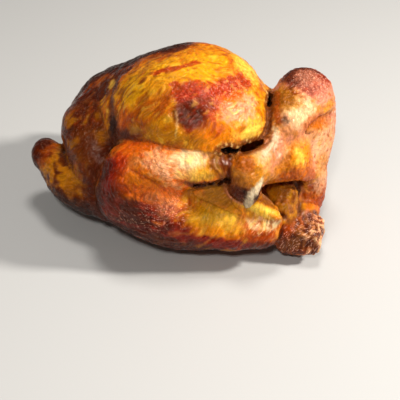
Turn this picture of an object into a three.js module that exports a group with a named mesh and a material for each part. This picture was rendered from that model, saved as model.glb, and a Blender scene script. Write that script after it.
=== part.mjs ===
// A whole roast chicken, lying on its back with its shanks crossed in front of the body cavity.
//
// The bird is one solid. It is described as a field, negative inside the meat and positive in the air around it.
// Rounded forms for the back, breast, thighs, shanks, wings and tail are joined with a wide fillet where skin runs
// from one to the next, and with a tight one where they only press together. The cavity, its mouth, and the gaps that
// open under and beside the tip of the breast are then cut out, and the skin is given its lumps and its craggy tail.
// Marching cubes over a grid turns the field's zero level into one closed faceted skin. That skin is relaxed so that
// its facets are even, then thinned out where it is nearly flat.
//
// Millimetres. +X points from the neck to the tail, +Y to the side of the raised leg, +Z up. The bird rests on z = 0.

import * as THREE from "three";
import { ImprovedNoise } from "three/addons/math/ImprovedNoise.js";
import { triTable } from "three/addons/objects/MarchingCubes.js";

// ---- Driving dimensions -----------------------------------------------------------------------------------

const NEAR = -1; // the side of the leg that lies folded along the breast
const FAR = 1; // the side of the leg that stands up and crosses over the tail end

const BACK = { centre: [-4, 0, 42], radii: [86, 48, 46] };
const BREAST_LOBE = { centre: [0, 14, 82], radii: [50, 38, 48] }; // one each side of the keel
const BREAST_TIP = { centre: [31, -3, 93], radii: [23, 27, 21], pitch: 20 };
const CROP = { centre: [-38, 0, 65], radii: [66, 38, 46], pitch: -24 }; // slopes down from the keel to the neck
const NECK = { centre: [-88, 0, 38], radii: [17, 24, 17] };
const TAIL = { centre: [85, 3, 17.5], half: [15, 12, 11], round: 6, yaw: 25 };
const CAVITY = { centre: [44, 0, 60], radii: [46, 22, 27] };
const CAVITY_MOUTH = { centre: [77, 1, 46], radii: [17, 15, 14] };

// Limbs are balls that slide along a smooth curve through stations, [x, y, z, radius], whose y is measured outwards
// from the midline on their own side.
const TAIL_ROOT = [[66, -8, 20, 10], [78, 9, 23, 12], [79, 22, 24, 10]]; // joins the tail to the two thighs
const CAVITY_FLESH = [[58, 14, 50, 10], [67, 8, 43, 10], [72, 2, 34, 10]]; // shows on the cavity's far wall
const CAVITY_LIP = [[48, 26, 48, 8], [75, 16, 35, 5]];
const LIP_FLAP = [[54, 28, 55, 4], [66, 24, 50, 3.5], [78, 18, 42, 2.6]]; // skin that peels back from the lip
const UPPER_ARM = [[-63, 24, 65, 25], [-52, 35, 52, 22], [-38, 45, 36, 17]];
const FOREARM = [[-36, 47, 31, 16], [-68, 47, 33, 16], [-99, 38, 41, 10]];
const WING_TIP = [[-98, 36, 38, 10], [-86, 12, 16, 9]];

const FOLDED_THIGH = [[66, 20, 29, 13], [40, 30, 31, 19], [8, 43, 37, 25], [-14, 48, 47, 27]];
const FOLDED_KNEE_SKIN = [[-8, 52, 55, 23], [10, 50, 56, 15]];
const FOLDED_SHANK = [[-10, 50, 63, 24], [8, 48, 74, 18], [28, 40, 78, 13], [46, 26, 76, 9], [54, 14, 72, 8]];

const RAISED_THIGH = [[57, 31, 32, 25], [62, 40, 60, 22], [62, 47, 80, 21], [60, 48, 92, 19]];
const RAISED_FLANK = [[26, 36, 40, 26], [50, 42, 68, 22]];
const RAISED_SKIN = [[34, 30, 92, 9], [44, 36, 93, 8], [55, 42, 98, 8]]; // stretched between breast and knee
const RAISED_SHANK = [
  [59, 48, 95, 19], [61, 36, 94, 19], [62, 23, 90, 17], [61, 10, 86, 10], [59, -6, 80, 9], [56, -23, 75, 12.7], [57, -28, 67, 11],
];
const SHANK_GRISTLE = [[61, -29, 69, 8], [65, -33, 65, 5], [64, -36, 59, 2]];
const TENDONS = [
  [[60, 9, 92, 4], [63, -3, 87, 3.2], [63, -12, 85, 2.6], [61, -18, 84, 2]],
  [[73, 14, 86, 3], [71, 7, 83, 2.2], [69, -3, 80, 2.2], [65, -11, 78, 2]],
];
const CALF_FOLD = [[71, 14, 88, 1.6], [76, 21, 90.5, 3.2], [80, 30, 90.5, 4.4], [82, 39, 88.5, 5], [86, 50, 90, 4.5]];
const RAISED_ARCH = [[64, -8, 68.5, 7.5], [76, 12, 61.5, 7.5], [80, 28, 48, 7], [76, 34, 26, 9]];
const RAISED_WEB = { centre: [70, 24, 68], radii: [8, 17, 20] }; // the skin stretched inside the arch
const RAISED_FAT = { centre: [75, 10, 72], radii: [8, 12, 13] };

// The gaps run inwards along one direction, and are so many times as deep as they are wide.
const GAP_INWARDS = new THREE.Vector3(-0.42, 0.67, -0.61).normalize().toArray();
const GAP_DEPTH = 3;
const BREAST_TIP_GAP = [
  [39, -31, 89, 0.8], [44, -26, 88.5, 2.4], [48, -21, 87, 1.8], [50, -16, 86.5, 2.8], [52, -10, 85.5, 2.8], [54, -4, 85, 2.4],
  [55, 2, 84.5, 2],
];
const TIP_GAP_DEPTH = [[39, -16, 82, 4], [44, -8, 80, 5], [49, 1, 80, 5]];
const BREAST_SIDE_GAP = [[43, 29, 101, 1.8], [46, 23, 97, 3], [49, 16, 93, 2.2], [52, 11, 89, 1.8], [55, 5, 85, 1.9]];
const SHANK_GAP = [[25, -52, 73, 1.3], [32, -47, 70, 1.9], [40, -40, 69, 2.1], [48, -32, 70, 2.2]];

// How far a fillet reaches where two forms meet.
const SMOOTH = 20;
const SOFT = 12;
const SNUG = 7;
const CREASE = 3;
const WING_CREASE = 6;

// How high the roast skin's relief stands, and how far apart its lumps are.
const LUMPS = { height: 1, apart: 16 };
const CRAGS = { height: 1.6, apart: 7 }; // on the tail, the flesh in the cavity and the gristle at the shank's end
const TEARS = { height: 1.2, apart: 6 }; // along the edges of the gaps
const LIMB_REACH = 14; // a limb is measured exactly within this distance of the box round it

const CELL = 2.6; // the grid's step
const GRID_LOW = [-118, -84, -2.5 * CELL];
const GRID_HIGH = [112, 84, 140];
const NEAREST_CORNER = 0.1; // how near to a grid corner the skin may cross an edge, as a share of the edge
const RELAX_PASSES = 5;
const RELAX_SHARE = 0.5;
const RETURN_LIMIT = 0.1 * CELL; // how far a pass may pull a point back, so that the finest clefts round out
const MOST_TRIANGLES = 11400;
const SHARE_PER_PASS = 0.2; // of the pairs of points that a thinning pass considers, cheapest first
const EVENNESS = 0.02; // how much keeping points near their place counts against keeping them on their planes
const SETTLED = 0.1; // points this near to the resting plane lie on it
const SKIN_COLOUR = 0xb8651c;

// ---- Forms: each makes a function from a point to a signed distance ----------------------------------------

// An ellipsoid on the given side of the midline, pitched about Y in degrees.
function ellipsoid({ centre, radii, pitch = 0 }, side = 1) {
  const angle = THREE.MathUtils.degToRad(pitch);
  const [cos, sin] = [Math.cos(angle), Math.sin(angle)];
  return ([x, y, z]) => {
    const dx = x - centre[0];
    const dz = z - centre[2];
    const along = [cos * dx - sin * dz, y - side * centre[1], sin * dx + cos * dz];
    const scaled = Math.hypot(...along.map((d, i) => d / radii[i]));
    const slope = Math.hypot(...along.map((d, i) => d / radii[i] ** 2));
    return slope > 0 ? (scaled * (scaled - 1)) / slope : -Math.min(...radii);
  };
}

// A block with rounded edges, turned about Z in degrees.
function block({ centre, half, round, yaw }) {
  const angle = THREE.MathUtils.degToRad(yaw);
  const [cos, sin] = [Math.cos(angle), Math.sin(angle)];
  return ([x, y, z]) => {
    const [dx, dy, dz] = [x - centre[0], y - centre[1], z - centre[2]];
    const beyond = [cos * dx + sin * dy, cos * dy - sin * dx, dz].map((d, i) => Math.abs(d) - half[i] + round);
    return Math.hypot(...beyond.map((b) => Math.max(b, 0))) + Math.min(Math.max(...beyond), 0) - round;
  };
}

// A limb on the given side of the midline. Each span of its curve is a cubic in x, y, z and radius.
function limb(stations, side = FAR) {
  const at = stations.map(([x, y, z, r]) => [x, side * y, z, r]);
  const spans = at.slice(1).map((to, i) => {
    const from = at[i];
    const before = at[i - 1] ?? from.map((f, k) => 2 * f - to[k]);
    const after = at[i + 2] ?? to.map((t, k) => 2 * t - from[k]);
    return from.map((f, k) => {
      const [b, t, a] = [before[k], to[k], after[k]];
      return [f, (t - b) / 2, b - 2.5 * f + 2 * t - a / 2, (3 * (f - t) - b + a) / 2];
    });
  });
  const follow = (along) => {
    const n = Math.min(Math.floor(along), spans.length - 1);
    const t = along - n;
    const value = spans[n].map(([a, b, c, d]) => a + t * (b + t * (c + t * d)));
    return { value, slope: spans[n].map(([, b, c, d]) => b + t * (2 * c + 3 * t * d)) };
  };
  const starts = Array.from({ length: 6 * spans.length + 1 }, (_, i) => i / 6);
  const balls = starts.map((along) => follow(along).value);
  const low = [0, 1, 2].map((i) => Math.min(...at.map((s) => s[i] - s[3])));
  const high = [0, 1, 2].map((i) => Math.max(...at.map((s) => s[i] + s[3])));
  return (p) => {
    const outside = Math.hypot(...p.map((c, i) => Math.max(low[i] - c, c - high[i], 0)));
    if (outside > LIMB_REACH) return outside;
    let nearest = Infinity;
    let along = 0;
    for (let n = 0; n < balls.length; n++) {
      const [x, y, z, r] = balls[n];
      const distance = Math.hypot(p[0] - x, p[1] - y, p[2] - z) - r;
      if (distance < nearest) [nearest, along] = [distance, starts[n]];
    }
    for (let pass = 0; pass < 2; pass++) {
      const { value, slope } = follow(along);
      const away = [p[0] - value[0], p[1] - value[1], p[2] - value[2]];
      const length = Math.hypot(...away) + 1e-6;
      const pull = dot(away, slope) / length + slope[3];
      const step = THREE.MathUtils.clamp((pull * length) / dot(slope, slope), -0.1, 0.1);
      along = THREE.MathUtils.clamp(along + step, 0, spans.length);
    }
    const [x, y, z, r] = follow(along).value;
    return Math.hypot(p[0] - x, p[1] - y, p[2] - z) - r;
  };
}

// A limb that is deeper than wide along the direction in which the gaps run, measured across its width.
function slot(stations) {
  const squeeze = ([x, y, z, ...rest]) => {
    const along = dot([x, y, z], GAP_INWARDS) * (1 - 1 / GAP_DEPTH);
    return [x - along * GAP_INWARDS[0], y - along * GAP_INWARDS[1], z - along * GAP_INWARDS[2], ...rest];
  };
  const squeezed = limb(stations.map(squeeze));
  return (p) => squeezed(squeeze(p));
}

// A form whose surface is worked into lumps.
const wrinkle = new ImprovedNoise();
const rough = (form, { height, apart }) => (p) => {
  const distance = form(p);
  return distance > 3 * height ? distance : distance + height * wrinkle.noise(...p.map((c) => c / apart));
};

// Two forms as one, with a fillet in the corner between them.
const join = (a, b, reach) => (p) => {
  const [da, db] = [a(p), b(p)];
  const overlap = Math.max(reach - Math.abs(da - db), 0) / reach;
  return Math.min(da, db) - (overlap * overlap * reach) / 4;
};

// The first form with the second taken out, and the edge rounded.
const cut = (a, b, reach) => {
  const inverse = join((p) => -a(p), b, reach);
  return (p) => -inverse(p);
};

// ---- The bird ---------------------------------------------------------------------------------------------

function trunk() {
  const lobes = join(ellipsoid(BREAST_LOBE, NEAR), ellipsoid(BREAST_LOBE, FAR), SOFT);
  const breast = join(lobes, ellipsoid(BREAST_TIP), SOFT);
  let made = join(ellipsoid(BACK), join(breast, ellipsoid(CROP), SMOOTH), SOFT);
  made = join(made, ellipsoid(NECK), SOFT);
  made = join(join(made, rough(block(TAIL), CRAGS), SNUG), limb(TAIL_ROOT), CREASE);
  for (const side of [NEAR, FAR]) made = join(made, limb(UPPER_ARM, side), SNUG);
  made = join(made, limb(RAISED_FLANK), SOFT);
  made = join(made, limb(RAISED_SKIN), SNUG);
  made = cut(made, ellipsoid(CAVITY), CREASE);
  return join(made, limb(CAVITY_LIP, NEAR), CREASE);
}

function foldedLeg() {
  let leg = join(limb(FOLDED_THIGH, NEAR), limb(FOLDED_SHANK, NEAR), CREASE);
  leg = join(leg, limb(FOLDED_KNEE_SKIN, NEAR), SNUG);
  return join(leg, limb(LIP_FLAP, NEAR), SNUG);
}

function raisedLeg() {
  let leg = join(limb(RAISED_THIGH), limb(RAISED_SHANK), SNUG);
  leg = join(join(leg, limb(RAISED_ARCH), SOFT), ellipsoid(RAISED_WEB), SNUG);
  leg = join(leg, ellipsoid(RAISED_FAT), SNUG);
  leg = cut(leg, limb(CALF_FOLD), CREASE);
  for (const tendon of TENDONS) leg = join(leg, limb(tendon), CREASE);
  return join(leg, rough(limb(SHANK_GRISTLE), CRAGS), CREASE);
}

const wing = (side) => join(limb(FOREARM, side), limb(WING_TIP, side), SNUG);

function bird() {
  let made = join(join(trunk(), foldedLeg(), CREASE), raisedLeg(), CREASE);
  made = cut(made, ellipsoid(CAVITY_MOUTH), CREASE);
  made = cut(made, limb(TIP_GAP_DEPTH), CREASE);
  for (const gap of [BREAST_TIP_GAP, BREAST_SIDE_GAP, SHANK_GAP]) made = cut(made, rough(slot(gap), TEARS), CREASE);
  made = join(made, rough(limb(CAVITY_FLESH), CRAGS), CREASE);
  for (const side of [NEAR, FAR]) made = join(made, wing(side), WING_CREASE);
  made = rough(made, LUMPS);
  return (p) => Math.max(made(p), -p[2]); // flat where it rests
}

// ---- From field to mesh -----------------------------------------------------------------------------------

const COUNT = GRID_LOW.map((low, i) => Math.ceil((GRID_HIGH[i] - low) / CELL) + 1);
const STRIDE = [1, COUNT[0], COUNT[0] * COUNT[1]];
const POINTS = COUNT[0] * COUNT[1] * COUNT[2];
const indexOf = (cell) => cell[0] + cell[1] * STRIDE[1] + cell[2] * STRIDE[2];
const cellOf = (n) => [n % COUNT[0], Math.floor(n / STRIDE[1]) % COUNT[1], Math.floor(n / STRIDE[2])];
const pointAt = (cell) => cell.map((c, i) => GRID_LOW[i] + c * CELL);

// Grid points reached from a start point through neighbours that lie on the same side of the skin.
function reached(values, start) {
  const seen = new Uint8Array(POINTS);
  const queue = [start];
  seen[start] = 1;
  while (queue.length) {
    const n = queue.pop();
    const cell = cellOf(n);
    for (let axis = 0; axis < 3; axis++)
      for (const step of [-1, 1]) {
        const next = n + step * STRIDE[axis];
        const inside = cell[axis] + step >= 0 && cell[axis] + step < COUNT[axis];
        if (!inside || seen[next] || values[next] > 0 !== values[start] > 0) continue;
        seen[next] = 1;
        queue.push(next);
      }
  }
  return seen;
}

// The field's values on the grid, with sealed hollows filled and loose scraps dropped.
function sample(field) {
  const values = Float64Array.from({ length: POINTS }, (_, n) => field(pointAt(cellOf(n))));
  const middle = BACK.centre.map((c, i) => Math.round((c - GRID_LOW[i]) / CELL));
  const air = reached(values, 0);
  const meat = reached(values, indexOf([middle[0] - 6, middle[1], middle[2]]));
  const least = 0.05 * CELL;
  return values.map((v, n) => (v > 0 && !air[n] ? -least : v <= 0 && !meat[n] ? least : v));
}

// Corners of a cell, and the pair of corners that each edge joins, in triTable's order.
const CORNERS = [[0, 0, 0], [1, 0, 0], [1, 1, 0], [0, 1, 0], [0, 0, 1], [1, 0, 1], [1, 1, 1], [0, 1, 1]];
const EDGES = [[0, 1], [1, 2], [2, 3], [3, 0], [4, 5], [5, 6], [6, 7], [7, 4], [0, 4], [1, 5], [2, 6], [3, 7]];
const TABLE_ROW = 16;

// Marching cubes: the points of the skin and the triangles between them.
function polygonize(values) {
  const points = [];
  const triangles = [];
  const known = new Map(); // grid edge to point
  for (let n = 0; n < POINTS; n++) {
    const cell = cellOf(n);
    if (cell.some((c, i) => c === COUNT[i] - 1)) continue;
    const corners = CORNERS.map((corner) => cell.map((c, i) => c + corner[i]));
    const value = corners.map((corner) => values[indexOf(corner)]);
    const pattern = value.reduce((bits, v, i) => bits | (v > 0 ? 1 << i : 0), 0);
    for (let entry = pattern * TABLE_ROW; triTable[entry] !== -1; entry++) {
      const [a, b] = EDGES[triTable[entry]];
      const key = [indexOf(corners[a]), indexOf(corners[b])].sort((i, j) => i - j).join();
      if (!known.has(key)) {
        const crossing = value[a] / (value[a] - value[b]);
        const t = THREE.MathUtils.clamp(crossing, NEAREST_CORNER, 1 - NEAREST_CORNER);
        const [from, to] = [pointAt(corners[a]), pointAt(corners[b])];
        known.set(key, points.push(from.map((f, i) => THREE.MathUtils.lerp(f, to[i], t))) - 1);
      }
      triangles.push(known.get(key));
    }
  }
  return { points, triangles };
}

// Moves each point towards the middle of its neighbours and back onto the skin, so that thin facets fill out.
function relax(points, triangles, field) {
  const neighbours = points.map(() => new Set());
  triangles.forEach((a, n) => {
    const b = triangles[n % 3 === 2 ? n - 2 : n + 1];
    neighbours[a].add(b);
    neighbours[b].add(a);
  });
  const step = 0.01;
  const ontoSkin = (p) => {
    const here = field(p);
    const back = THREE.MathUtils.clamp(here, -RETURN_LIMIT, RETURN_LIMIT);
    const gradient = p.map((_, i) => (field(p.map((c, j) => (i === j ? c + step : c))) - here) / step);
    const steepness = Math.max(gradient.reduce((sum, g) => sum + g * g, 0), 0.25);
    return p.map((c, i) => c - (back * gradient[i]) / steepness);
  };
  for (let pass = 0; pass < RELAX_PASSES; pass++)
    points = points.map((p, n) => {
      const around = [...neighbours[n]];
      const middle = p.map((_, i) => around.reduce((sum, m) => sum + points[m][i], 0) / around.length);
      return ontoSkin(p.map((c, i) => THREE.MathUtils.lerp(c, middle[i], RELAX_SHARE)));
    });
  return points;
}

// The squared distance to a set of planes as a function of position: x·Ax + 2b·x + c, kept as [A, b, c] in ten numbers.
const ORDER = [[0, 0], [0, 1], [0, 2], [1, 1], [1, 2], [2, 2]];
const planeError = ([x, y, z], offset, weight) =>
  [x * x, x * y, x * z, y * y, y * z, z * z, x * offset, y * offset, z * offset, offset * offset].map((q) => q * weight);
const pointError = (p, weight) => [1, 0, 0, 1, 0, 1, ...p.map((c) => -c), dot(p, p)].map((q) => q * weight);
const sum = (a, b) => a.map((q, i) => q + b[i]);
const dot = (a, b) => a[0] * b[0] + a[1] * b[1] + a[2] * b[2];
const minus = (a, b) => [a[0] - b[0], a[1] - b[1], a[2] - b[2]];
const cross = (a, b) => [a[1] * b[2] - a[2] * b[1], a[2] * b[0] - a[0] * b[2], a[0] * b[1] - a[1] * b[0]];

function errorAt([xx, xy, xz, yy, yz, zz, bx, by, bz, c], [x, y, z]) {
  const squares = xx * x * x + yy * y * y + zz * z * z + 2 * (xy * x * y + xz * x * z + yz * y * z);
  return squares + 2 * (bx * x + by * y + bz * z) + c;
}

// Where the error is least.
function leastAt([xx, xy, xz, yy, yz, zz, bx, by, bz]) {
  const solve = new THREE.Matrix3(xx, xy, xz, xy, yy, yz, xz, yz, zz).invert();
  return new THREE.Vector3(-bx, -by, -bz).applyMatrix3(solve).toArray();
}

// Merges neighbouring points, those that move the skin least first, until few enough triangles are left.
function thin(points, triangles) {
  points = [...points];
  let faces = [];
  for (let n = 0; n < triangles.length; n += 3) faces.push(triangles.slice(n, n + 3));
  const normalOf = (face) => cross(minus(points[face[1]], points[face[0]]), minus(points[face[2]], points[face[0]]));
  const errors = points.map(() => new Array(10).fill(0));
  for (const face of faces) {
    const normal = normalOf(face);
    const size = Math.hypot(...normal);
    if (size === 0) continue;
    const unit = normal.map((c) => c / size);
    const flat = planeError(unit, -dot(unit, points[face[0]]), size);
    for (const n of face) errors[n] = sum(errors[n], sum(flat, pointError(points[n], EVENNESS * size)));
  }

  while (faces.length > MOST_TRIANGLES) {
    const facesAt = new Map();
    const neighbours = new Map();
    for (const face of faces)
      face.forEach((n, i) => {
        if (!facesAt.has(n)) [facesAt, neighbours].forEach((map) => map.set(n, new Set()));
        facesAt.get(n).add(face);
        neighbours.get(n).add(face[(i + 1) % 3]).add(face[(i + 2) % 3]);
      });
    const merges = [];
    for (const [a, around] of neighbours)
      for (const b of around) {
        if (b < a) continue;
        const error = sum(errors[a], errors[b]);
        const place = leastAt(error);
        merges.push({ a, b, error, place, cost: errorAt(error, place) });
      }
    merges.sort((m, n) => m.cost - n.cost);

    const settled = new Set();
    let left = faces.length;
    for (const { a, b, error, place } of merges.slice(0, Math.ceil(SHARE_PER_PASS * merges.length))) {
      if (left <= MOST_TRIANGLES) break;
      if (settled.has(a) || settled.has(b)) continue;
      const shared = [...neighbours.get(a)].filter((n) => neighbours.get(b).has(n));
      const moved = [...facesAt.get(a), ...facesAt.get(b)].filter((face) => !(face.includes(a) && face.includes(b)));
      const turns = moved.some((face) => {
        const [p, q, r] = face.map((n) => (n === a || n === b ? place : points[n]));
        const [was, is] = [normalOf(face), cross(minus(q, p), minus(r, p))];
        return dot(was, is) < 0.3 * Math.hypot(...was) * Math.hypot(...is);
      });
      if (shared.length !== 2 || turns) continue;
      for (const n of [a, b, ...neighbours.get(a), ...neighbours.get(b)]) settled.add(n);
      [points[a], errors[a]] = [place, error];
      for (const face of facesAt.get(b)) face[face.indexOf(b)] = a;
      left -= 2;
    }
    if (left === faces.length) break;
    faces = faces.filter(([a, b, c]) => a !== b && b !== c && c !== a);
  }

  const used = [...new Set(faces.flat())];
  const numbered = new Map(used.map((n, i) => [n, i]));
  return { points: used.map((n) => points[n]), triangles: faces.flat().map((n) => numbered.get(n)) };
}

function skinOf(field) {
  const fine = polygonize(sample(field));
  const { points, triangles } = thin(relax(fine.points, fine.triangles, field), fine.triangles);
  const geometry = new THREE.BufferGeometry();
  const settled = points.map(([x, y, z]) => [x, y, z < SETTLED ? 0 : z]);
  geometry.setAttribute("position", new THREE.Float32BufferAttribute(settled.flat(), 3));
  geometry.setIndex(triangles);
  geometry.computeVertexNormals();
  return geometry;
}

const skin = new THREE.MeshStandardMaterial({ color: SKIN_COLOUR, roughness: 0.35, metalness: 0 });
const chicken = new THREE.Mesh(skinOf(bird()), skin);
chicken.name = "roast_chicken";

const model = new THREE.Group();
model.add(chicken);
export default model;
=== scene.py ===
import itertools
import math

import bpy
import numpy as np
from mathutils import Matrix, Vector


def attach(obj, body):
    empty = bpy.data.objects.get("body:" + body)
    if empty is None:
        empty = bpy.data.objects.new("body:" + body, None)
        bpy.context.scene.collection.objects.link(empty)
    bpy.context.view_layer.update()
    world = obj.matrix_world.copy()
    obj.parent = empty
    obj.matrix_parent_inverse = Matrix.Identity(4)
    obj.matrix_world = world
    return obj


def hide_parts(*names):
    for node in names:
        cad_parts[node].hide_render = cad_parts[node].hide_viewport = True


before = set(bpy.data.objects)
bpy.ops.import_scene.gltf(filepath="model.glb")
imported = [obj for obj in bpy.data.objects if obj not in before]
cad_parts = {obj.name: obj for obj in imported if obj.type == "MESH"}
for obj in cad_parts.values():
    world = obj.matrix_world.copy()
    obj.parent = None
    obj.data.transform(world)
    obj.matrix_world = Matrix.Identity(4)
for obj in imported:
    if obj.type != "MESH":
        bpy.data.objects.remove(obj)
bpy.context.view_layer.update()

MM = 0.001

# ---------------------------------------------------------------------------------------------------------------
# Forms, in millimetres, from the same named values as the CAD solid
# ---------------------------------------------------------------------------------------------------------------

NEAR, FAR = -1, 1
BACK = dict(centre=(-4, 0, 42), radii=(86, 48, 46))
BREAST_LOBE = dict(centre=(0, 14, 82), radii=(50, 38, 48))
BREAST_TIP = dict(centre=(31, -3, 93), radii=(23, 27, 21), pitch=20)
CROP = dict(centre=(-38, 0, 65), radii=(66, 38, 46), pitch=-24)
NECK = dict(centre=(-88, 0, 38), radii=(17, 24, 17))
CAVITY = dict(centre=(44, 0, 60), radii=(46, 22, 27))
CAVITY_MOUTH = dict(centre=(77, 1, 46), radii=(17, 15, 14))
CAVITY_FLESH = [(58, 14, 50, 10), (67, 8, 43, 10), (72, 2, 34, 10)]

TAIL = dict(centre=(85, 3, 17.5), half=(15, 12, 11), round=6, yaw=25)
TAIL_ROOT = [(66, -8, 20, 10), (78, 9, 23, 12), (79, 22, 24, 10)]
GAP_INWARDS, GAP_DEPTH = (-0.42, 0.67, -0.61), 3  # the gaps run this way in, so many times as deep as wide
BREAST_TIP_GAP = [
    (39, -31, 89, 0.8),
    (44, -26, 88.5, 2.4),
    (48, -21, 87, 1.4),
    (50, -16, 86.5, 2.8),
    (52, -10, 85.5, 2.8),
    (54, -4, 85, 2.2),
    (55, 2, 84.5, 1.8),
]
TIP_GAP_DEPTH = [(39, -16, 82, 4), (44, -8, 80, 5), (49, 1, 80, 5)]
BREAST_SIDE_GAP = [(43, 29, 101, 1), (46, 23, 97, 2.4), (49, 16, 93, 1.1), (52, 11, 89, 0.9), (55, 5, 85, 1)]
SHANK_GAP = [(25, -52, 73, 0.8), (32, -47, 70, 1.1), (40, -40, 69, 1.2), (48, -32, 70, 1.4)]

UPPER_ARM = [(-63, 24, 65, 25), (-52, 35, 52, 22), (-38, 45, 36, 17)]
FOREARM = [(-36, 47, 31, 16), (-68, 47, 33, 16), (-99, 38, 41, 10)]
WING_TIP = [(-98, 36, 38, 10), (-86, 12, 16, 9)]
FOLDED_THIGH = [(66, 20, 29, 13), (40, 30, 31, 19), (8, 43, 37, 25), (-14, 48, 47, 27)]
FOLDED_KNEE_SKIN = [(-8, 52, 55, 23), (10, 50, 56, 15)]
FOLDED_SHANK = [(-10, 50, 63, 24), (8, 48, 74, 18), (28, 40, 78, 13), (46, 26, 76, 9), (54, 14, 72, 8)]
CAVITY_LIP = [(48, 26, 48, 8), (75, 16, 35, 5)]
LIP_FLAP = [(54, 28, 55, 4), (66, 24, 50, 3.5), (78, 18, 42, 2.6)]
RAISED_THIGH = [(57, 31, 32, 25), (62, 40, 60, 22), (62, 47, 80, 21), (60, 48, 92, 19)]
RAISED_FLANK = [(26, 36, 40, 26), (50, 42, 68, 22)]
RAISED_SKIN = [(34, 30, 92, 9), (44, 36, 93, 8), (55, 42, 98, 8)]
RAISED_SHANK = [
    (59, 48, 95, 19),
    (61, 36, 94, 19),
    (62, 23, 90, 17),
    (61, 10, 86, 10),
    (59, -6, 80, 9),
    (56, -23, 75, 12.7),
    (57, -28, 67, 11),
]
SHANK_GRISTLE = [(61, -29, 69, 8), (65, -33, 65, 5), (64, -36, 59, 2)]
TENDONS = [
    [(60, 9, 92, 4), (63, -3, 87, 3.2), (63, -12, 85, 2.6), (61, -18, 84, 2)],
    [(73, 14, 86, 3), (71, 7, 83, 2.2), (69, -3, 80, 2.2), (65, -11, 78, 2)],
]
CALF_FOLD = [(71, 14, 88, 1.4), (76, 21, 90.5, 3.2), (80, 30, 90.5, 4.4), (82, 39, 88.5, 5), (86, 50, 90, 4.5)]
RAISED_ARCH = [(64, -8, 68.5, 7.5), (76, 12, 61.5, 7.5), (80, 28, 48, 7), (76, 34, 26, 9)]
RAISED_WEB = dict(centre=(70, 24, 68), radii=(8, 17, 20))
RAISED_FAT = dict(centre=(75, 10, 72), radii=(8, 12, 13))

# reach of the joins and cuts between forms
SMOOTH, SOFT, SNUG, CREASE, TIGHT, WING_CREASE = 20, 12, 7, 2.5, 1.2, 5

# grid that the skin is sampled on
CELL = 1.1
LOW = np.array([-118.0, -84.0, -3.0])
HIGH = np.array([112.0, 84.0, 140.0])


def ellipsoid(p, centre, radii, pitch=0.0, side=1):
    angle = math.radians(pitch)
    cos, sin = math.cos(angle), math.sin(angle)
    d = p - np.array([centre[0], side * centre[1], centre[2]], float)
    along = np.stack([cos * d[:, 0] - sin * d[:, 2], d[:, 1], sin * d[:, 0] + cos * d[:, 2]], 1)
    radii = np.array(radii, float)
    scaled = np.linalg.norm(along / radii, axis=1)
    slope = np.maximum(np.linalg.norm(along / radii**2, axis=1), 1e-6)
    return scaled * (scaled - 1) / slope


def block(p, centre, half, round, yaw=0.0):
    d = p - np.array(centre, float)
    cos, sin = math.cos(math.radians(yaw)), math.sin(math.radians(yaw))
    turned = np.stack([cos * d[:, 0] + sin * d[:, 1], cos * d[:, 1] - sin * d[:, 0], d[:, 2]], 1)
    beyond = np.abs(turned) - np.array(half, float) + round
    return np.linalg.norm(np.maximum(beyond, 0), axis=1) + np.minimum(beyond.max(axis=1), 0) - round


TRIES, REFINEMENTS = 6, 2  # places tried on each stretch of a limb's curve, and steps towards the nearest one


def limb(p, stations, side=1, reach=14.0):
    """Distance to the skin of a limb round a smooth curve, exact only within reach of the box round its stations."""
    s = np.array(stations, float)
    s[:, 1] *= side
    low, high = (s[:, :3] - s[:, 3:]).min(0), (s[:, :3] + s[:, 3:]).max(0)
    nearest = np.linalg.norm(np.maximum(np.maximum(low - p, p - high), 0), axis=1) + 0.01
    close = nearest < reach
    q = p[close]
    a, b, c, d = (np.concatenate([[2 * s[0] - s[1]], s, [2 * s[-1] - s[-2]]])[i : len(s) - 1 + i] for i in range(4))
    cubic = np.stack([2 * b, c - a, 2 * a - 5 * b + 4 * c - d, 3 * b - a - 3 * c + d], 1) / 2

    def follow(t):
        n = np.clip(t.astype(int), 0, len(cubic) - 1)
        t = (t - n)[:, None]
        k = cubic[n]
        return k[:, 0] + t * (k[:, 1] + t * (k[:, 2] + t * k[:, 3])), k[:, 1] + t * (2 * k[:, 2] + 3 * t * k[:, 3])

    exact, t = np.full(len(q), np.inf), np.zeros(len(q))
    for start in np.linspace(0, len(cubic), TRIES * len(cubic) + 1):
        at = follow(np.array([start]))[0][0]
        distance = np.sqrt(((q - at[:3]) ** 2).sum(1)) - at[3]
        better = distance < exact
        exact[better], t[better] = distance[better], start
    for _ in range(REFINEMENTS):
        at, along = follow(t)
        away = q - at[:, :3]
        length = np.sqrt((away**2).sum(1)) + 1e-6
        pull = (away * along[:, :3]).sum(1) / length + along[:, 3]
        t = np.clip(t + np.clip(pull * length / (along[:, :3] ** 2).sum(1), -0.1, 0.1), 0, len(cubic))
    at = follow(t)[0]
    nearest[close] = np.sqrt(((q - at[:, :3]) ** 2).sum(1)) - at[:, 3]
    return nearest


def unit(v):
    return np.array(v, float) / np.linalg.norm(v)


def drawn(p, along, stretch=6.0):
    """Places squeezed along a direction, so that a pattern made from them runs that way."""
    along = unit(along)
    return p - (p @ along)[:, None] * along * (1 - 1 / stretch)


def slot(p, stations):
    s = np.array(stations, float)
    s[:, :3] = drawn(s[:, :3], GAP_INWARDS, GAP_DEPTH)
    return limb(drawn(p, GAP_INWARDS, GAP_DEPTH), s, reach=6)


def join(a, b, reach):
    overlap = np.maximum(reach - np.abs(a - b), 0) / reach
    return np.minimum(a, b) - overlap * overlap * reach / 4


def cut(a, b, reach):
    return -join(-a, b, reach)


LATTICE, SEED = 32, 7
SEED_SHIFT, GAIN = 17.31, 1.7  # lattice cells between two seeds, and the factor that brings the noise to about 1
SLOPES = np.random.default_rng(SEED).normal(size=(LATTICE, LATTICE, LATTICE, 3)).astype(np.float32)
SLOPES /= np.linalg.norm(SLOPES, axis=-1, keepdims=True)


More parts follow.
